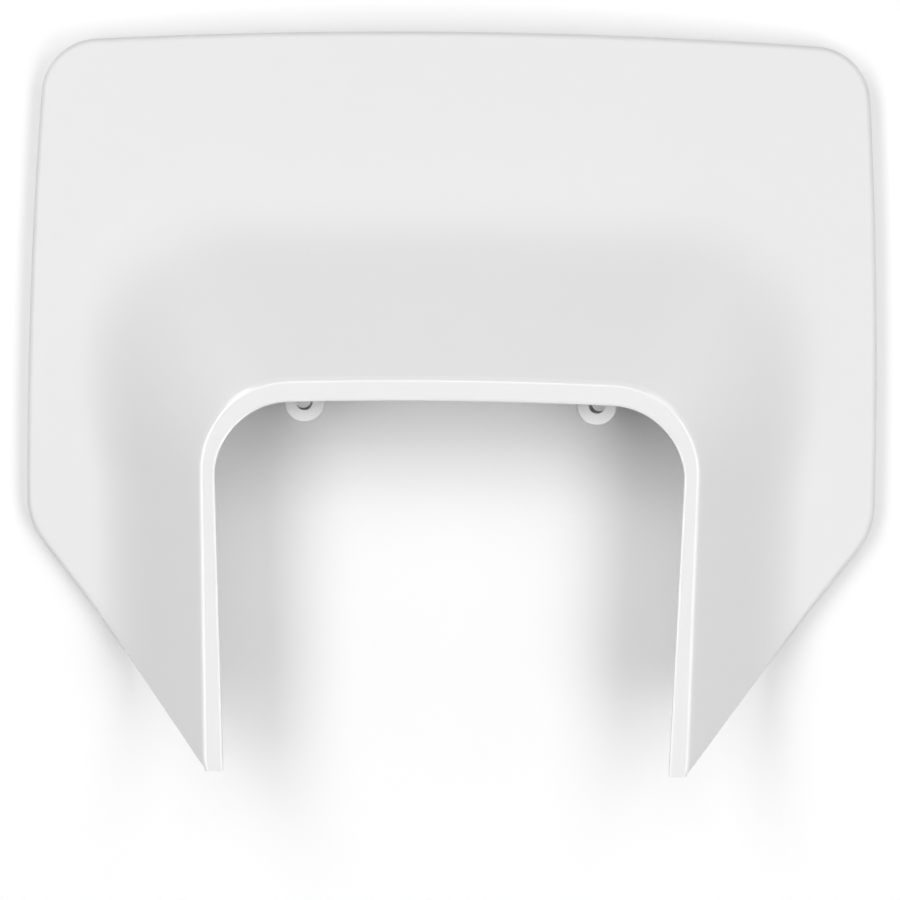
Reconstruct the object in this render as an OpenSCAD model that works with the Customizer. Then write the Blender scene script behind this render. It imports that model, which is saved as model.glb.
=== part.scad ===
// Front number plate of a motorbike, with a cut-out for the headlamp.
// One moulded shell. The plate swells forward as a hood round the cut-out, the hood ends in a flat
// lip, the outer edge turns back as a rim, and two screw bosses stand behind the top of the lip.
// It lies face up on its rim: +X to the right, +Y to the top edge, +Z out of the face, and the
// origin is in the middle of the overall width and height, in the plane that it rests on.

/* [Plate outline] */
// Overall width of the plate
plate_w = 285; // [280:1:300]
// Overall height, from the middle of the top edge to the ends of the legs
plate_h = 246; // [240:1:256]
// Radius of the shallow arch of the top edge
top_arch_r = 2290; // [1600:10:4000]
// Radius of the slight bulge of each side edge
side_bulge_r = 1720; // [1500:10:4000]
// Distance from the top edge down to the widest place
widest_drop = 129; // [122:1:136]
// Radius of the two top corners
top_corner_r = 19; // [12:1:28]
// Radius of the two lower outer corners
low_corner_r = 25; // [15:1:30]
// Lean of the long lower edges, in degrees from upright
cut_lean = 38.3; // [36.5:0.05:40]
// Height above the leg ends at which the long lower edges meet the lip
cut_meet = 1; // [0.9:0.1:1.5]

/* [Headlamp cut-out and lip] */
// Width of the cut-out at the top of the legs
opening_w = 154; // [150:0.1:156]
// Width of the cut-out between the leg ends
opening_end_w = 146; // [143:0.1:149]
// Corner radius of the cut-out
opening_corner_r = 24; // [18:0.5:30]
// Radius of the shallow arch over the cut-out
lip_arch_r = 1500; // [1000:10:3000]
// Distance from the top edge of the plate down to the lip
lip_drop = 117.2; // [114:0.1:121]
// Width of the lip over the cut-out
lip_w_top = 6.5; // [5.5:0.1:7.5]
// Width of the lip at the top of the legs
lip_w_leg = 4.7; // [4.2:0.1:5.5]
// Width of the lip at the leg ends
lip_w_end = 6.1; // [5.5:0.1:7]
// Height of the lip's face above the plane that the rim rests on
lip_z = 44; // [38:0.5:48]
// Rounding of the lip's inner edge
lip_inner_r = 1; // [0.5:0.1:1.4]
// Rounding of the lip's outer edge
lip_outer_r = 2; // [1:0.1:2.5]
// Rounding of the leg ends, seen from the front
leg_end_r = 0.6; // [0.3:0.1:0.8]

/* [Hood and plate surface] */
// Radius of the plate's bow from side to side
bow_r = 1500; // [1200:10:3000]
// Width of the hood beside the cut-out, from the lip to the flat of the plate
hood_side = 40; // [36:0.5:44]
// Width of the hood above the cut-out
hood_top = 67; // [60:0.5:72]
// Share of the hood that is a straight slope beside the cut-out
straight_side = 0.5; // [0.4:0.01:0.6]
// Share of the hood that is a straight slope above the cut-out
straight_top = 0.62; // [0.5:0.01:0.7]

/* [Wall and rim] */
// Wall thickness
wall = 3; // [2.5:0.1:3.5]
// Depth of the turned-back rim at the sides
rim_depth = 7; // [6:0.1:9]
// Rounding of the outer edge, where the face turns into the rim
rim_r = 1.8; // [1:0.1:2.2]

/* [Screw bosses] */
// Distance between the two boss centres
boss_spacing = 96.4; // [90:0.1:100]
// Distance from the lip's inner edge down to the boss centres
boss_drop = 0.8; // [0.2:0.1:2]
// Outer diameter of a boss
boss_d = 13; // [11:0.5:14]
// Diameter of the through bore of a boss
boss_bore_d = 5.5; // [4.5:0.1:6.5]
// Depth of the boss's front face behind the face of the lip
boss_recess = 9; // [7:0.5:11]
// Length of a boss
boss_len = 20; // [16:0.5:22]
// Thickness of the web that joins a boss to the hood
web_t = 3; // [2:0.1:4]
// Length of the web along the hood
web_reach = 38; // [30:1:44]
// Gap between the bore and the web
web_gap = 1.2; // [0.8:0.1:2]

/* [Hidden] */

plate_colour = "white";
bore_sides = 48;

// Least width of slope that is kept outside the lip, at the leg ends
least_slope = 0.8;

// Stations along each stretch of the right half of the outline
top_steps = 10;
corner_steps = 6;
side_steps = 12;
low_steps = 5;
cut_steps = 10;
end_steps = 3;

// Rows across a section
slope_rows = 8;
flat_rows = 3;
edge_rows = 3;
back_slope_rows = 5;
back_flat_rows = 2;

// Steps along the curved top edge of a web
web_steps = 6;

// How far a bore's cutter stands out past each end of its boss
bore_over = 1;

top_y = plate_h / 2;
end_y = -plate_h / 2;
widest_y = top_y - widest_drop;

// Centres of the lip's arcs and the places where they join, on the right half
lip_out_leg = opening_w / 2 + lip_w_leg;
lip_out_end = opening_end_w / 2 + lip_w_end;
lip_corner_r = opening_corner_r + (lip_w_leg + lip_w_top) / 2;
lip_arch_c = [0, top_y - lip_drop - lip_arch_r];
lip_corner_x = lip_out_leg - lip_corner_r;
lip_corner_c = [
    lip_corner_x,
    lip_arch_c.y + sqrt(pow(lip_arch_r - lip_corner_r, 2) - pow(lip_corner_x, 2))
];
lip_corner_end = atan2(lip_corner_c.y - lip_arch_c.y, lip_corner_c.x);

// Centres of the outline's arcs, and the long lower edge as a point and a direction
top_arch_c = [0, top_y - top_arch_r];
side_c = [plate_w / 2 - side_bulge_r, widest_y];
cut_dir = [sin(cut_lean), cos(cut_lean)];
cut_out = [cos(cut_lean), -sin(cut_lean)];
cut_point = [leg_edge(end_y + cut_meet), end_y + cut_meet];
top_corner_c = circles_meet(top_arch_c, top_arch_r - top_corner_r, side_c, side_bulge_r - top_corner_r);
low_corner_c = line_meets(cut_point - low_corner_r * cut_out, cut_dir, side_c, side_bulge_r - low_corner_r);

boss_x = boss_spacing / 2;
boss_y = top_y - lip_drop - lip_w_top - boss_drop;
boss_front_z = lip_z - boss_recess;

function blend(a, b, t) = a + (b - a) * t;
function direction(a) = [cos(a), sin(a)];
function heading(v) = atan2(v.y, v.x);

// Where two circles meet, to the right of the way from the first centre to the second
function circles_meet(c1, r1, c2, r2) =
    let (gap = norm(c2 - c1), way = (c2 - c1) / gap, along = (gap * gap + r1 * r1 - r2 * r2) / (2 * gap))
    c1 + along * way + sqrt(r1 * r1 - along * along) * [way.y, -way.x];

// Where a line from p along way leaves a circle
function line_meets(p, way, c, r) =
    let (from = p - c, b = from * way)
    p + way * (sqrt(b * b - from * from + r * r) - b);

// Half width over the lip's outer edges, down the leg
function leg_share(y) = (lip_corner_c.y - y) / (lip_corner_c.y - end_y);
function leg_edge(y) = blend(lip_out_leg, lip_out_end, leg_share(y));

// The outline's right half from the middle of the top edge to the leg end. Each station is its
// point, the outward heading of the edge there, and how far a rounded leg end draws it in.
function arc_stations(c, r, a0, a1, steps) =
    [for (i = [0 : steps - 1]) let (a = blend(a0, a1, i / steps)) [c + r * direction(a), a, 0]];

top_corner_start = heading(top_corner_c - top_arch_c);
side_start = heading(top_corner_c - side_c);
side_end = heading(low_corner_c - side_c);
cut_heading = -cut_lean;
cut_start = low_corner_c + low_corner_r * direction(cut_heading);

// The long lower edge runs down to the lip, and then follows the lip to the leg end
function cut_station(y, inset) =
    [[max(cut_point.x + (y - cut_point.y) * tan(cut_lean), leg_edge(y)), y], cut_heading, inset];

outline_stations = concat(
    arc_stations(top_arch_c, top_arch_r, 90, top_corner_start, top_steps),
    arc_stations(top_corner_c, top_corner_r, top_corner_start, side_start, corner_steps),
    arc_stations(side_c, side_bulge_r, side_start, side_end, side_steps),
    arc_stations(low_corner_c, low_corner_r, side_end, cut_heading, low_steps),
    [for (i = [0 : cut_steps]) cut_station(blend(cut_start.y, cut_point.y, i / cut_steps), 0)],
    [
        for (i = [0 : end_steps])
        let (a = 90 * i / end_steps)
        cut_station(end_y + leg_end_r * (1 - sin(a)), leg_end_r * (1 - cos(a)))
    ]
);

// The lip's outer point nearest to an outline point, the level heading from it to that point,
// how far up from the side that heading turns, and the lip's width there
function lip_frame(p) =
    p.y < lip_corner_c.y
    ? [[leg_edge(p.y), p.y], [1, 0], 0, blend(lip_w_leg, lip_w_end, leg_share(p.y))]
    : let (a = heading(p - lip_corner_c))
      a < lip_corner_end
      ? [lip_corner_c + lip_corner_r * direction(a), direction(a), sin(a), blend(lip_w_leg, lip_w_top, sin(a))]
      : let (b = heading(p - lip_arch_c))
        [lip_arch_c + lip_arch_r * direction(b), direction(b), 1, lip_w_top];

// Face of the plate without the hood: a bow that is rim_depth high at the widest place
function bow_z(x) = rim_depth + (pow(plate_w / 2, 2) - x * x) / (2 * bow_r);

// Rise of the hood, 1 at the lip and 0 at its foot: a straight slope, then a hollow sweep
function hood_rise(u, straight) =
    u >= 1 ? 0
    : u > straight ? pow(1 - u, 2) / (1 - straight * straight)
    : 1 - 2 * u / (1 + straight);

// Height of the face at distance d from the lip, in a frame made by lip_frame
function face_z(f, d) =
    let (
        foot = blend(hood_side, hood_top, f[2]),
        base = bow_z(f[0].x + f[1].x * d)
    )
    base + (lip_z - base) * hood_rise(d / foot, blend(straight_side, straight_top, f[2]));

// Fall of the face in degrees, at distance d from the lip
function face_fall(f, d) = atan((face_z(f, max(d - 0.05, 0)) - face_z(f, d + 0.05)) / (d < 0.05 ? d + 0.05 : 0.1));

// Height of the inside of the wall
function back_z(f, d) = face_z(f, d) - wall / cos(face_fall(f, d));

// Distances from the lip at which the rows of a section lie: close on the hood, wide on the flat
function row_places(start, foot, reach, hood_count, flat_count) =
    let (bend = min(foot, blend(start, reach, 0.8)))
    concat(
        [for (i = [1 : hood_count]) blend(start, bend, i / hood_count)],
        [for (i = [1 : flat_count]) blend(bend, reach, i / (flat_count + 1))]
    );

// One closed section through the wall, as [distance from the lip, height] pairs
function section_profile(f, reach, lip_w, edge_stretch, floor_z) =
    let (
        fall = face_fall(f, 0),
        lip_r = min(lip_outer_r, reach),
        set_back = lip_r * tan(fall / 2),
        slope_start = lip_r * sin(fall) - set_back,
        foot = blend(hood_side, hood_top, f[2]),
        edge_z = face_z(f, reach),
        edge_fall = atan(tan(face_fall(f, reach)) * edge_stretch),
        edge_r = min(rim_r, 0.4 * reach / edge_stretch),
        edge_back = edge_r * tan((90 - edge_fall) / 2),
        edge_start = reach - edge_stretch * edge_back * cos(edge_fall),
        rim_t = min(wall * edge_stretch, 0.5 * reach),
        rim_in = reach - rim_t,
        front = row_places(slope_start, foot, edge_start, slope_rows, flat_rows),
        back = row_places(0, foot, rim_in, back_slope_rows, back_flat_rows),
        back_count = len(back)
    )
    concat(
        [[-lip_w, lip_z - wall], [-lip_w, lip_z - lip_inner_r]],
        [[-lip_w + lip_inner_r * (1 - cos(45)), lip_z - lip_inner_r * (1 - sin(45))]],
        [[-lip_w + lip_inner_r, lip_z], [-set_back, lip_z]],
        [[-set_back + lip_r * sin(fall / 2), lip_z - lip_r * (1 - cos(fall / 2))]],
        [[slope_start, face_z(f, slope_start)]],
        [for (d = front) [d, face_z(f, d)]],
        [
            for (i = [0 : edge_rows])
            let (a = (90 - edge_fall) * (1 - i / edge_rows))
            [reach - edge_stretch * edge_r * (1 - cos(a)), edge_z - edge_back + edge_r * sin(a)]
        ],
        [[reach, floor_z], [rim_in, floor_z], [rim_in, back_z(f, rim_in)]],
        [for (i = [back_count - 1 : -1 : 0]) [back[i], back_z(f, back[i])]],
        [[-wall * tan(fall / 2), lip_z - wall]]
    );

// The section at one station, in space. The rim reaches back to the resting plane, and on the long
// lower edges it rises with the hood.
function section(station) =
    let (
        edge = station[0] - [station[2], 0],
        near = lip_frame(edge),
        outer = [min(near[0].x, near[0].x + (edge - near[0]) * near[1] - least_slope), near[0].y],
        lip_at = near[1].x == 1 ? outer : near[0],
        f = [lip_at, near[1], near[2]],
        reach = (edge - lip_at) * near[1],
        lip_w = near[3] - norm(near[0] - lip_at) - station[2],
        edge_stretch = 1 / max(near[1] * direction(station[1]), 0.5),
        floor_z = face_z(f, reach) - bow_z(edge.x)
    )
    [for (p = section_profile(f, reach, lip_w, edge_stretch, floor_z)) [each (lip_at + p[0] * near[1]), p[1]]];

right_sections = [for (s = outline_stations) section(s)];

function mirrored(points) = [for (p = points) [-p.x, p.y, p.z]];

// A skin over closed sections that all have the same number of points
module skin(sections) {
    ring = len(sections[0]);
    last = len(sections) - 1;
    walls = [
        for (i = [0 : last - 1], k = [0 : ring - 1])
        let (a = i * ring + k, b = i * ring + (k + 1) % ring)
        each [[a, b, b + ring], [a, b + ring, a + ring]]
    ];
    caps = [[for (k = [ring - 1 : -1 : 0]) k], [for (k = [0 : ring - 1]) last * ring + k]];
    polyhedron(points = [for (s = sections) each s], faces = concat(walls, caps));
}

module shell() {
    stations = len(right_sections);
    skin([
        for (i = [stations - 1 : -1 : 1]) mirrored(right_sections[i]),
        each right_sections
    ]);
}

// A boss with the web that joins it to the inside of the hood. The web's top edge lies in the
// middle of the wall, and it stops short of the bore.
module boss(x) {
    f = lip_frame([x, top_y]);
    web_start = boss_y + boss_bore_d / 2 + web_gap;
    web_top = [
        for (i = [0 : web_steps])
        let (d = web_reach * i / web_steps)
        [f[0].y + d, face_z(f, d) - wall / 2]
    ];
    web = concat(
        [[boss_y, boss_front_z - boss_len], [boss_y, boss_front_z], [web_start, boss_front_z]],
        [[web_start, lip_z - wall / 2]],
        web_top
    );
    translate([x, boss_y, boss_front_z - boss_len])
        cylinder(d = boss_d, h = boss_len, $fn = bore_sides);
    translate([x - web_t / 2, 0, 0])
        rotate([90, 0, 90])
            linear_extrude(web_t) polygon(web);
}

module boss_bore(x) {
    translate([x, boss_y, boss_front_z - boss_len - bore_over])
        cylinder(d = boss_bore_d, h = boss_len + 2 * bore_over, $fn = bore_sides);
}

module number_plate() {
    color(plate_colour)
        difference() {
            union() {
                shell();
                for (x = [-boss_x, boss_x]) boss(x);
            }
            for (x = [-boss_x, boss_x]) boss_bore(x);
        }
}

number_plate();
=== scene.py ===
import math

import bpy
from mathutils import Euler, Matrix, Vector


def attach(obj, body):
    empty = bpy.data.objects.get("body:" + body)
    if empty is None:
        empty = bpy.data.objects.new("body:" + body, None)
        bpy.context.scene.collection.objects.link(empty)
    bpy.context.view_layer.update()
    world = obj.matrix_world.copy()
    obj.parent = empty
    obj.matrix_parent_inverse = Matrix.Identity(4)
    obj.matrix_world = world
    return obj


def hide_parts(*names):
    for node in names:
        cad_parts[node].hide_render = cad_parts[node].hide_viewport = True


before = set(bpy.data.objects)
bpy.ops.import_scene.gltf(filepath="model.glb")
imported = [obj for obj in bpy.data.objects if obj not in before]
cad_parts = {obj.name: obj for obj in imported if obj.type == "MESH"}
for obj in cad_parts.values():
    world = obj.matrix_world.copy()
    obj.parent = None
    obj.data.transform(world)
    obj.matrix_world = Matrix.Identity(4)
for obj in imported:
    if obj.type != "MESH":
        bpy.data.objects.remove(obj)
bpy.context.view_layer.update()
mm = 0.001

# The plate: one injection-moulded shell of glossy white plastic. It swells forward as a hood round
# the headlamp cut-out, the hood ends in a flat lip, and the outer edge turns back as a rim. It is
# one sheet, wrapped round the wall and carried round the cut-out from one leg end to the other.
plate_w, plate_h = 285 * mm, 246 * mm
top_arch_r, side_bulge_r, widest_drop = 2290 * mm, 1720 * mm, 129 * mm
top_corner_r, low_corner_r = 19 * mm, 25 * mm
cut_lean, cut_meet = math.radians(38.3), 1 * mm
opening_w, opening_end_w, opening_corner_r = 154 * mm, 146 * mm, 24 * mm
lip_arch_r, lip_drop, lip_z = 1500 * mm, 117.2 * mm, 44 * mm
lip_w_top, lip_w_leg, lip_w_end = 6.5 * mm, 4.7 * mm, 6.1 * mm
lip_inner_in, lip_inner_drop, lip_outer_r = 1.2 * mm, 0.5 * mm, 2 * mm
leg_end_r, least_slope = 0.6 * mm, 0.8 * mm
bow_r, hood_side, hood_top, hood_shoulder = 1500 * mm, 40 * mm, 67 * mm, 14 * mm
shoulder_scale = 27 / 4
straight_side, straight_top = 0.5, 0.62
wall, rim_depth, rim_r = 3 * mm, 7 * mm, 2.2 * mm
rim_r_share, rim_wall_share, least_cos = 0.4, 0.5, 0.5

top_steps, corner_steps, side_steps, low_steps, cut_steps, end_steps = 24, 14, 26, 12, 28, 6
slope_rows, flat_rows, edge_rows, lip_rows = 16, 7, 6, 4
back_slope_rows, back_flat_rows, slope_share = 12, 5, 0.8
touch, fall_step = 0.001 * mm, 0.05 * mm
square = math.pi / 2


def blend(a, b, t):
    return a + (b - a) * t


def direction(angle):
    return Vector((math.cos(angle), math.sin(angle)))


def heading(way):
    return math.atan2(way.y, way.x)


def circles_meet(c1, r1, c2, r2):
    """Where two circles meet, to the right of the way from the first centre to the second."""
    gap = (c2 - c1).length
    way = (c2 - c1) / gap
    along = (gap * gap + r1 * r1 - r2 * r2) / (2 * gap)
    return c1 + along * way + math.sqrt(r1 * r1 - along * along) * Vector((way.y, -way.x))


def line_meets(start, way, centre, r):
    """Where a line from start along way leaves a circle."""
    away = start - centre
    b = away.dot(way)
    return start + way * (math.sqrt(b * b - away.dot(away) + r * r) - b)


top_y, end_y = plate_h / 2, -plate_h / 2
lip_out_leg = opening_w / 2 + lip_w_leg
lip_out_end = opening_end_w / 2 + lip_w_end
lip_corner_r = opening_corner_r + (lip_w_leg + lip_w_top) / 2
lip_arch_c = Vector((0, top_y - lip_drop - lip_arch_r))
lip_corner_x = lip_out_leg - lip_corner_r
lip_corner_rise = math.sqrt((lip_arch_r - lip_corner_r) ** 2 - lip_corner_x ** 2)
lip_corner_c = Vector((lip_corner_x, lip_arch_c.y + lip_corner_rise))
lip_corner_end = heading(lip_corner_c - lip_arch_c)


def leg_share(y):
    return (lip_corner_c.y - y) / (lip_corner_c.y - end_y)


def leg_edge(y):
    return blend(lip_out_leg, lip_out_end, leg_share(y))


top_arch_c = Vector((0, top_y - top_arch_r))
side_c = Vector((plate_w / 2 - side_bulge_r, top_y - widest_drop))
cut_dir = Vector((math.sin(cut_lean), math.cos(cut_lean)))
cut_out = Vector((math.cos(cut_lean), -math.sin(cut_lean)))
cut_point = Vector((leg_edge(end_y + cut_meet), end_y + cut_meet))
top_corner_c = circles_meet(
    top_arch_c, top_arch_r - top_corner_r, side_c, side_bulge_r - top_corner_r)
low_corner_c = line_meets(
    cut_point - low_corner_r * cut_out, cut_dir, side_c, side_bulge_r - low_corner_r)


def arc_stations(centre, r, a0, a1, steps):
    """Points along an arc of the outline, each with its outward heading and no inset."""
    angles = [blend(a0, a1, i / steps) for i in range(steps)]
    return [(centre + r * direction(a), a, 0) for a in angles]


def cut_station(y, inset):
    """A point of the long lower edge at height y, drawn in by inset at a rounded leg end. The edge
    runs down to the lip, and then follows the lip to the leg end."""
    x = cut_point.x + (y - cut_point.y) * math.tan(cut_lean)
    return Vector((max(x, leg_edge(y)), y)), -cut_lean, inset


top_corner_start = heading(top_corner_c - top_arch_c)
side_start, side_end = heading(top_corner_c - side_c), heading(low_corner_c - side_c)
cut_start_y = (low_corner_c + low_corner_r * direction(-cut_lean)).y
outline = arc_stations(top_arch_c, top_arch_r, square, top_corner_start, top_steps)
outline += arc_stations(top_corner_c, top_corner_r, top_corner_start, side_start, corner_steps)
outline += arc_stations(side_c, side_bulge_r, side_start, side_end, side_steps)
outline += arc_stations(low_corner_c, low_corner_r, side_end, -cut_lean, low_steps)
for i in range(cut_steps + 1):
    outline.append(cut_station(blend(cut_start_y, cut_point.y, i / cut_steps), 0))
for i in range(end_steps + 1):
    turn = square * i / end_steps
    rise, inset = leg_end_r * (1 - math.sin(turn)), leg_end_r * (1 - math.cos(turn))
    outline.append(cut_station(end_y + rise, inset))


def lip_frame(point):
    """The nearest point of the lip's outer edge, the level way out from it, the sine of how far
    that way turns up from the side, and the lip's width there."""
    if point.y < lip_corner_c.y:
        width = blend(lip_w_leg, lip_w_end, leg_share(point.y))
        return Vector((leg_edge(point.y), point.y)), Vector((1, 0)), 0, width
    a = heading(point - lip_corner_c)
    if a < lip_corner_end:
        width = blend(lip_w_leg, lip_w_top, math.sin(a))
        return lip_corner_c + lip_corner_r * direction(a), direction(a), math.sin(a), width
    b = heading(point - lip_arch_c)
    return lip_arch_c + lip_arch_r * direction(b), direction(b), 1, lip_w_top


def bow_z(x):
    """Height of the bowed plate without its hood."""
    return rim_depth + ((plate_w / 2) ** 2 - x * x) / (2 * bow_r)


def hood_rise(u, straight):
    """1 at the lip and 0 at the hood's foot: a straight slope, then a hollow sweep. u runs from 0
    to 1 over the hood, and the slope's line ends at straight."""
    if u >= 1:
        return 0
    if u > straight:
        return (1 - u) ** 2 / (1 - straight * straight)
    return 1 - 2 * u / (1 + straight)


def hood_foot(turn):
    """How far the hood reaches from the lip: a little farther at its two square shoulders, whose
    rise and fall is scaled so that it peaks at hood_shoulder."""
    shoulder = shoulder_scale * turn ** 4 * (1 - turn ** 2)
    return blend(hood_side, hood_top, turn) + hood_shoulder * shoulder


def face_z(lip_at, way, turn, d):
    """Height of the face at a distance d from the lip."""
    base = bow_z(lip_at.x + way.x * d)
    rise = hood_rise(d / hood_foot(turn), blend(straight_side, straight_top, turn))
    return base + (lip_z - base) * rise


def face_fall(lip_at, way, turn, d):
    """How steeply the face falls there, as an angle."""
    near, far = max(d - fall_step, 0), d + fall_step
    drop = face_z(lip_at, way, turn, near) - face_z(lip_at, way, turn, far)
    return math.atan(drop / (far - near))


def back_z(lip_at, way, turn, d):
    """Height of the inside of the wall there."""
    return face_z(lip_at, way, turn, d) - wall / math.cos(face_fall(lip_at, way, turn, d))


def row_places(start, foot, reach, hood_count, flat_count):
    """Distances from the lip at which rows lie: close on the hood, wide on the flat."""
    bend = min(foot, blend(start, reach, slope_share))
    hood = [blend(start, bend, i / hood_count) for i in range(1, hood_count + 1)]
    return hood + [blend(bend, reach, i / (flat_count + 1)) for i in range(1, flat_count + 1)]


def section(point, out_angle, inset):
    """One closed section through the wall, as points in space."""
    edge = point - Vector((inset, 0))
    near, way, turn, width = lip_frame(edge)
    lip_at = near
    if way.x == 1:
        lip_at = Vector((min(near.x, edge.x - least_slope), near.y))
    reach = (edge - lip_at).dot(way)
    width -= (near - lip_at).length + inset
    stretch = 1 / max(way.dot(direction(out_angle)), least_cos)
    fall = face_fall(lip_at, way, turn, 0)
    lip_r = min(lip_outer_r, reach)
    set_back = lip_r * math.tan(fall / 2)
    slope_start = lip_r * math.sin(fall) - set_back
    foot = hood_foot(turn)
    edge_z = face_z(lip_at, way, turn, reach)
    edge_fall = math.atan(math.tan(face_fall(lip_at, way, turn, reach)) * stretch)
    edge_r = min(rim_r, rim_r_share * reach / stretch)
    edge_back = edge_r * math.tan((square - edge_fall) / 2)
    edge_start = reach - stretch * edge_back * math.cos(edge_fall)
    rim_in = reach - min(wall * stretch, rim_wall_share * reach)
    floor_z = edge_z - bow_z(edge.x)
    profile = [(-width, lip_z - wall)]
    for i in range(lip_rows + 1):
        a = square * i / lip_rows
        roll_in, roll_down = lip_inner_in * (1 - math.cos(a)), lip_inner_drop * (1 - math.sin(a))
        profile.append((-width + roll_in, lip_z - roll_down))
    for i in range(lip_rows + 1):
        a = fall * i / lip_rows
        profile.append((-set_back + lip_r * math.sin(a), lip_z - lip_r * (1 - math.cos(a))))
    for d in row_places(slope_start, foot, edge_start, slope_rows, flat_rows):
        profile.append((d, face_z(lip_at, way, turn, d)))
    for i in range(edge_rows + 1):
        a = (square - edge_fall) * (1 - i / edge_rows)
        over = reach - stretch * edge_r * (1 - math.cos(a))
        profile.append((over, edge_z - edge_back + edge_r * math.sin(a)))
    profile += [(reach, floor_z), (rim_in, floor_z), (rim_in, back_z(lip_at, way, turn, rim_in))]
    for d in reversed(row_places(0, foot, rim_in, back_slope_rows, back_flat_rows)):
        profile.append((d, back_z(lip_at, way, turn, d)))
    profile.append((-wall * math.tan(fall / 2), lip_z - wall))
    return [Vector((*(lip_at + d * way), z)) for d, z in profile]


right_half = [section(*station) for station in outline]
left_half = [[Vector((-p.x, p.y, p.z)) for p in points] for points in reversed(right_half[1:])]
sections = left_half + right_half
around, along = len(sections[0]), len(sections) - 1


def select_where(mesh, test):
    """Selects the vertices that pass a test of their place, and what they bound."""
    bpy.ops.object.mode_set(mode='OBJECT')
    for vertex in mesh.vertices:
        vertex.select = test(vertex.co)
    for edge in mesh.edges:
        edge.select = all(mesh.vertices[i].select for i in edge.vertices)
    for face in mesh.polygons:
        face.select = all(mesh.vertices[i].select for i in face.vertices)
    bpy.ops.object.mode_set(mode='EDIT')


bpy.ops.object.select_all(action='DESELECT')
bpy.ops.mesh.primitive_grid_add(x_subdivisions=around, y_subdivisions=along, size=2)
plate = bpy.context.object
plate.name = plate.data.name = "moulded_plate"
for vertex in plate.data.vertices:
    ring_place = round((vertex.co.x + 1) / 2 * around) % around
    station_place = round((vertex.co.y + 1) / 2 * along)
    vertex.co = sections[station_place][ring_place]
bpy.ops.object.mode_set(mode='EDIT')
bpy.ops.mesh.select_all(action='SELECT')
bpy.ops.mesh.remove_doubles(threshold=touch)
for side in (-1, 1):
    select_where(plate.data, lambda co: co.y < end_y + touch and co.x * side > 0)
    bpy.ops.mesh.edge_face_add()
bpy.ops.mesh.select_all(action='SELECT')
bpy.ops.mesh.normals_make_consistent(inside=False)
bpy.ops.object.mode_set(mode='OBJECT')

# The screw bosses: two round posts moulded behind the top run of the lip, each joined to the inside
# of the hood by a web. They are cored right through for the screws that hold the plate to its
# bracket, and each core leans a little outwards and upwards as it goes back.
boss_x, boss_drop = 48.2 * mm, 0.8 * mm
boss_r, bore_r, boss_recess, boss_len = 6.5 * mm, 2.75 * mm, 9 * mm, 20 * mm
boss_edge_r, boss_edge_steps, round_steps = 0.4 * mm, 3, 64
web_t, web_reach, web_gap, web_sink, web_steps = 3 * mm, 38 * mm, 1.2 * mm, 0.5 * mm, 12
core_spread, core_rise, core_over = math.radians(3.8), math.radians(2.9), 2 * mm
smooth_angle = math.radians(32)
boss_y = top_y - lip_drop - lip_w_top - boss_drop
boss_front, boss_back = lip_z - boss_recess, lip_z - boss_recess - boss_len


def join_to_plate(tool, operation):
    """Joins a solid to the plate, or cuts it away, and removes it."""
    mod = plate.modifiers.new("join", 'BOOLEAN')
    mod.operation, mod.solver, mod.object = operation, 'EXACT', tool
    bpy.ops.object.select_all(action='DESELECT')
    bpy.context.view_layer.objects.active = plate
    plate.select_set(True)
    bpy.ops.object.modifier_apply(modifier=mod.name)
    bpy.data.objects.remove(tool)


def post(x):
    """An upright round post with its end edges rounded."""
    bpy.ops.object.select_all(action='DESELECT')
    bpy.ops.mesh.primitive_cylinder_add(
        vertices=round_steps, radius=boss_r, depth=boss_len,
        location=(x, boss_y, (boss_back + boss_front) / 2))
    made = bpy.context.object
    bpy.ops.object.transform_apply(location=True, rotation=True, scale=True)
    bpy.ops.object.mode_set(mode='EDIT')
    bpy.ops.mesh.select_all(action='DESELECT')
    for height in (boss_back, boss_front):
        select_where(made.data, lambda co: abs(co.z - height) < touch)
        bpy.ops.mesh.bevel(offset=boss_edge_r, segments=boss_edge_steps, affect='EDGES')
    bpy.ops.object.mode_set(mode='OBJECT')
    return made


def core(x):
    """The leaning pin that leaves the screw hole. It starts in the middle of the post's front."""
    lean = Euler((core_rise, -math.copysign(core_spread, x), 0))
    middle = Vector((0, 0, -boss_len / 2))
    middle.rotate(lean)
    bpy.ops.object.select_all(action='DESELECT')
    bpy.ops.mesh.primitive_cylinder_add(
        vertices=round_steps, radius=bore_r, depth=boss_len + 2 * core_over,
        location=Vector((x, boss_y, boss_front)) + middle, rotation=lean)
    return bpy.context.object


def web(x):
    """The upright web between a post and the hood, its top edge in the middle of the wall."""
    near, way, turn, _ = lip_frame(Vector((x, top_y)))
    start = boss_y + bore_r + web_gap
    low, high = boss_back + web_sink, boss_front - web_sink
    outline_yz = [(boss_y, low), (boss_y, high), (start, high), (start, lip_z - wall / 2)]
    for i in range(web_steps + 1):
        d = web_reach * i / web_steps
        outline_yz.append((near.y + d, face_z(near, way, turn, d) - wall / 2))
    bpy.ops.object.select_all(action='DESELECT')
    bpy.ops.mesh.primitive_circle_add(vertices=len(outline_yz), radius=1, fill_type='NGON')
    made = bpy.context.object
    for vertex, (y, z) in zip(made.data.vertices, outline_yz):
        vertex.co = (x - web_t / 2, y, z)
    bpy.ops.object.mode_set(mode='EDIT')
    bpy.ops.mesh.select_all(action='SELECT')
    bpy.ops.mesh.extrude_region_move(TRANSFORM_OT_translate={"value": (web_t, 0, 0)})
    bpy.ops.mesh.select_all(action='SELECT')
    bpy.ops.mesh.normals_make_consistent(inside=False)
    bpy.ops.object.mode_set(mode='OBJECT')
    return made


for x in (-boss_x, boss_x):
    join_to_plate(post(x), 'UNION')
    join_to_plate(web(x), 'UNION')
    join_to_plate(core(x), 'DIFFERENCE')
bpy.ops.object.shade_smooth_by_angle(angle=smooth_angle)


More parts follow.
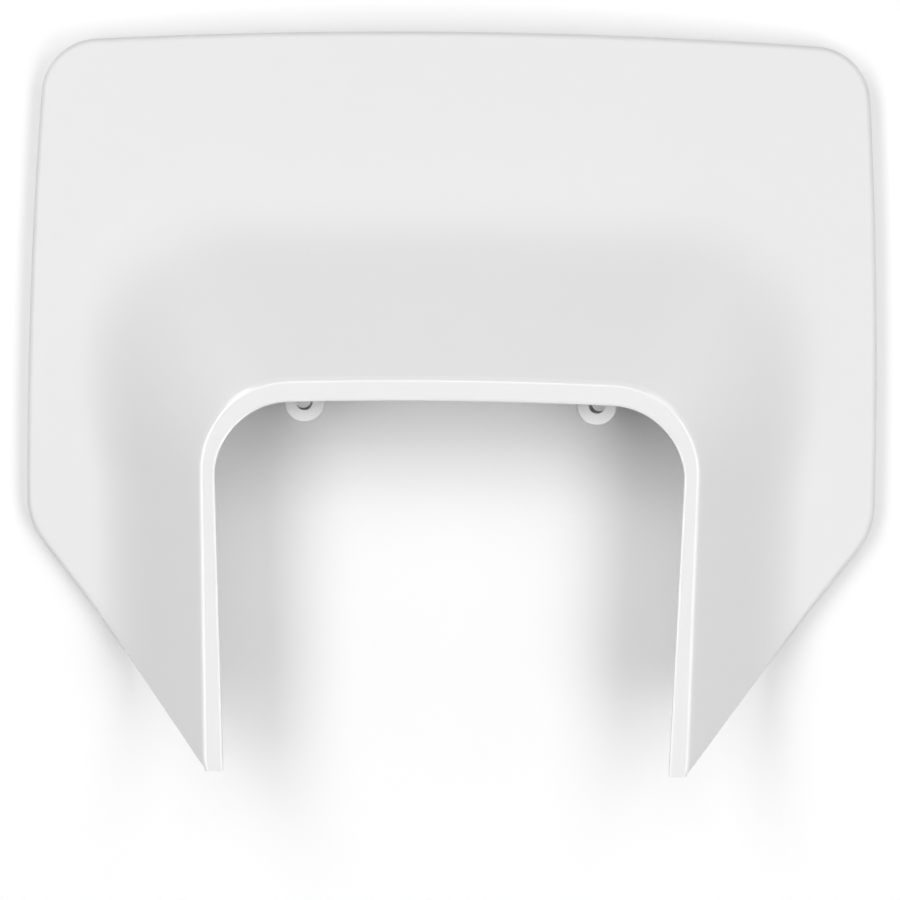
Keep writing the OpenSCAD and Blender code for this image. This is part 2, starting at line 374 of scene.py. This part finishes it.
def white_plastic():
    """White plastic as it leaves the tool: a nearly even white, with a faint cloudiness and the
    slight waviness that a moulded face has. The lip is polished, and it has a painted highlight:
    its colour is painted a shade brighter than the rest."""
    polish_and_painted_highlight_start, polish_and_painted_highlight_full = lip_z - 1.0 * mm, lip_z - 0.5 * mm
    made = bpy.data.materials.new("white_moulded_plastic")
    made.use_nodes = True
    nodes, links = made.node_tree.nodes, made.node_tree.links
    shader = nodes["Principled BSDF"]
    shader.inputs["IOR"].default_value = 1.49
    coords = nodes.new("ShaderNodeTexCoord")

    cloud = nodes.new("ShaderNodeTexNoise")
    cloud.inputs["Scale"].default_value = 9
    cloud.inputs["Detail"].default_value = 2
    tint = nodes.new("ShaderNodeValToRGB")
    tint.color_ramp.elements[0].position, tint.color_ramp.elements[1].position = 0.2, 0.8
    tint.color_ramp.elements[0].color = (0.800, 0.800, 0.800, 1)
    tint.color_ramp.elements[1].color = (0.810, 0.810, 0.810, 1)
    links.new(coords.outputs["Object"], cloud.inputs["Vector"])
    links.new(cloud.outputs["Fac"], tint.inputs["Fac"])

    place = nodes.new("ShaderNodeSeparateXYZ")
    on_lip = nodes.new("ShaderNodeMapRange")
    on_lip.inputs["From Min"].default_value = polish_and_painted_highlight_start
    on_lip.inputs["From Max"].default_value = polish_and_painted_highlight_full
    links.new(coords.outputs["Object"], place.inputs["Vector"])
    links.new(place.outputs["Z"], on_lip.inputs["Value"])
    # Painted highlight: the lip's colour is painted a shade brighter than the rest, in place of the
    # light it catches.
    lip_painted_highlight = nodes.new("ShaderNodeMix")
    lip_painted_highlight.data_type = 'RGBA'
    lip_painted_highlight.inputs["B"].default_value = (0.9, 0.9, 0.9, 1)
    links.new(on_lip.outputs["Result"], lip_painted_highlight.inputs["Factor"])
    links.new(tint.outputs["Color"], lip_painted_highlight.inputs["A"])
    links.new(lip_painted_highlight.outputs["Result"], shader.inputs["Base Color"])

    sheen = nodes.new("ShaderNodeTexNoise")
    sheen.inputs["Scale"].default_value = 60
    sheen.inputs["Detail"].default_value = 4
    rough = nodes.new("ShaderNodeMapRange")
    rough.inputs["To Min"].default_value = 0.43
    rough.inputs["To Max"].default_value = 0.47
    links.new(coords.outputs["Object"], sheen.inputs["Vector"])
    links.new(sheen.outputs["Fac"], rough.inputs["Value"])
    lip_rough = nodes.new("ShaderNodeMix")
    lip_rough.inputs["B"].default_value = 0.16
    links.new(on_lip.outputs["Result"], lip_rough.inputs["Factor"])
    links.new(rough.outputs["Result"], lip_rough.inputs["A"])
    links.new(lip_rough.outputs["Result"], shader.inputs["Roughness"])
    shader.inputs["Coat Roughness"].default_value = 0.1
    links.new(on_lip.outputs["Result"], shader.inputs["Coat Weight"])

    wave = nodes.new("ShaderNodeTexNoise")
    wave.inputs["Scale"].default_value = 220
    wave.inputs["Detail"].default_value = 2
    bump = nodes.new("ShaderNodeBump")
    bump.inputs["Strength"].default_value = 0.25
    bump.inputs["Distance"].default_value = 0.02 * mm
    links.new(coords.outputs["Object"], wave.inputs["Vector"])
    links.new(wave.outputs["Fac"], bump.inputs["Height"])
    links.new(bump.outputs["Normal"], shader.inputs["Normal"])
    return made


plate.data.materials.clear()
plate.data.materials.append(white_plastic())
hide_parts("number_plate")
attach(plate, "root")

# The surface that the plate lies on: plain white, and it keeps the plate's soft shadow. The camera
# and the reflections see it in full white, and it throws half of the light back on the plate. Out
# past floor_end it runs into an even white backdrop.
floor_size, floor_end, backdrop_start = 40, 0.3, 0.8


def seen_directly(tree):
    """1 where the camera, a reflection or a clear piece looks at a surface, 0 where it lights."""
    rays = tree.nodes.new("ShaderNodeLightPath")
    seen = rays.outputs["Is Camera Ray"]
    for name in ("Is Glossy Ray", "Is Transmission Ray"):
        either = tree.nodes.new("ShaderNodeMath")
        either.operation = 'MAXIMUM'
        tree.links.new(seen, either.inputs[0])
        tree.links.new(rays.outputs[name], either.inputs[1])
        seen = either.outputs[0]
    return seen


bpy.ops.object.select_all(action='DESELECT')
bpy.ops.mesh.primitive_plane_add(size=floor_size)
floor = bpy.context.object
floor.name = "floor"
floor_paint = bpy.data.materials.new("floor_white")
floor_paint.use_nodes = True
nodes, links = floor_paint.node_tree.nodes, floor_paint.node_tree.links
nodes.remove(nodes["Principled BSDF"])
floor_seen = seen_directly(floor_paint.node_tree)
white = nodes.new("ShaderNodeMix")
white.data_type = 'RGBA'
white.inputs["A"].default_value = (0.5, 0.5, 0.5, 1)
white.inputs["B"].default_value = (1, 1, 1, 1)
matt = nodes.new("ShaderNodeBsdfDiffuse")
links.new(floor_seen, white.inputs["Factor"])
links.new(white.outputs["Result"], matt.inputs["Color"])
coords = nodes.new("ShaderNodeTexCoord")
away = nodes.new("ShaderNodeVectorMath")
away.operation = 'LENGTH'
far_out = nodes.new("ShaderNodeMapRange")
far_out.inputs["From Min"].default_value = floor_end
far_out.inputs["From Max"].default_value = backdrop_start
far_seen = nodes.new("ShaderNodeMath")
far_seen.operation = 'MULTIPLY'
backdrop = nodes.new("ShaderNodeEmission")
floor_or_backdrop = nodes.new("ShaderNodeMixShader")
links.new(coords.outputs["Object"], away.inputs[0])
links.new(away.outputs["Value"], far_out.inputs["Value"])
links.new(far_out.outputs["Result"], far_seen.inputs[0])
links.new(floor_seen, far_seen.inputs[1])
links.new(far_seen.outputs[0], floor_or_backdrop.inputs[0])
links.new(matt.outputs[0], floor_or_backdrop.inputs[1])
links.new(backdrop.outputs[0], floor_or_backdrop.inputs[2])
links.new(floor_or_backdrop.outputs[0], nodes["Material Output"].inputs["Surface"])
floor.data.materials.append(floor_paint)

# The light: soft boxes all round the plate in a dim white room, none straight overhead. The high
# ones make the shadow inside the cut-out and the bright lines along the lip's edges, and the others
# light the hood's shoulders and slopes. The room is seen in full white only low down.
light_away, room_level, wall_top, wall_fade = 1.9, 0.1, 0.1, 0.2
world = bpy.data.worlds.new("white_room")
bpy.context.scene.world = world
world.use_nodes = True
nodes, links = world.node_tree.nodes, world.node_tree.links
nodes["Background"].inputs["Color"].default_value = (1, 1, 1, 1)
room_seen = seen_directly(world.node_tree)
sky = nodes.new("ShaderNodeTexCoord")
sky_parts = nodes.new("ShaderNodeSeparateXYZ")
low_down = nodes.new("ShaderNodeMapRange")
low_down.inputs["From Min"].default_value = wall_fade
low_down.inputs["From Max"].default_value = wall_top
wall_seen = nodes.new("ShaderNodeMath")
wall_seen.operation = 'MULTIPLY'
room_light = nodes.new("ShaderNodeMix")
room_light.inputs["A"].default_value = room_level
room_light.inputs["B"].default_value = 1
links.new(sky.outputs["Generated"], sky_parts.inputs["Vector"])
links.new(sky_parts.outputs["Z"], low_down.inputs["Value"])
links.new(low_down.outputs["Result"], wall_seen.inputs[0])
links.new(room_seen, wall_seen.inputs[1])
links.new(wall_seen.outputs[0], room_light.inputs["Factor"])
links.new(room_light.outputs["Result"], nodes["Background"].inputs["Strength"])


def soft_box(name, bearing, lean, length, width, power):
    """A soft box that faces the middle of the plate, with its length level. Its bearing is counted
    from +X towards +Y, and its lean from straight overhead, both in degrees."""
    lamp = bpy.data.lights.new(name, 'AREA')
    lamp.shape, lamp.size, lamp.size_y, lamp.energy = 'RECTANGLE', length, width, power
    made = bpy.data.objects.new(name, lamp)
    level = light_away * math.sin(math.radians(lean)) * direction(math.radians(bearing))
    made.location = (*level, light_away * math.cos(math.radians(lean)))
    made.rotation_euler = Euler((math.radians(lean), 0, math.radians(bearing) + square))
    bpy.context.collection.objects.link(made)


soft_box("right_high", 0, 32, 1.3, 0.8, 7.3)
soft_box("left_high", 180, 32, 1.3, 0.8, 9.3)
soft_box("top_high", 90, 27, 1.0, 0.8, 4.8)
soft_box("top_right_corner", 45, 46, 0.8, 0.8, 3.1)
soft_box("top_left_corner", 135, 46, 0.8, 0.8, 6.0)
soft_box("low_left_corner", 225, 46, 0.8, 0.8, 3.0)
soft_box("low_right_corner", 315, 46, 0.8, 0.8, 8.0)
soft_box("right_low", 0, 62, 1.6, 0.6, 3.4)
soft_box("left_low", 180, 62, 1.6, 0.6, 2.9)

# The camera: it looks straight down on the plate from 1.6 m, and is turned a little, as in the
# photo. The focal length is in pixels of a square frame.
camera_at = Vector((20.2, -15.9, 1600)) * mm
camera_tilt, camera_lean, camera_roll = -0.023, 0.740, 0.695
focal_px, frame_px, sensor_w, sight_end = 4750.9, 900, 36, 10
lens = bpy.data.cameras.new("camera")
lens.sensor_fit, lens.sensor_width = 'HORIZONTAL', sensor_w
lens.lens = sensor_w * focal_px / frame_px
lens.clip_end = sight_end
camera = bpy.data.objects.new("camera", lens)
camera.location = camera_at
camera.rotation_euler = Euler([math.radians(a) for a in (camera_tilt, camera_lean, camera_roll)])
bpy.context.collection.objects.link(camera)
bpy.context.scene.camera = camera

bpy.context.scene.view_settings.view_transform = 'Standard'
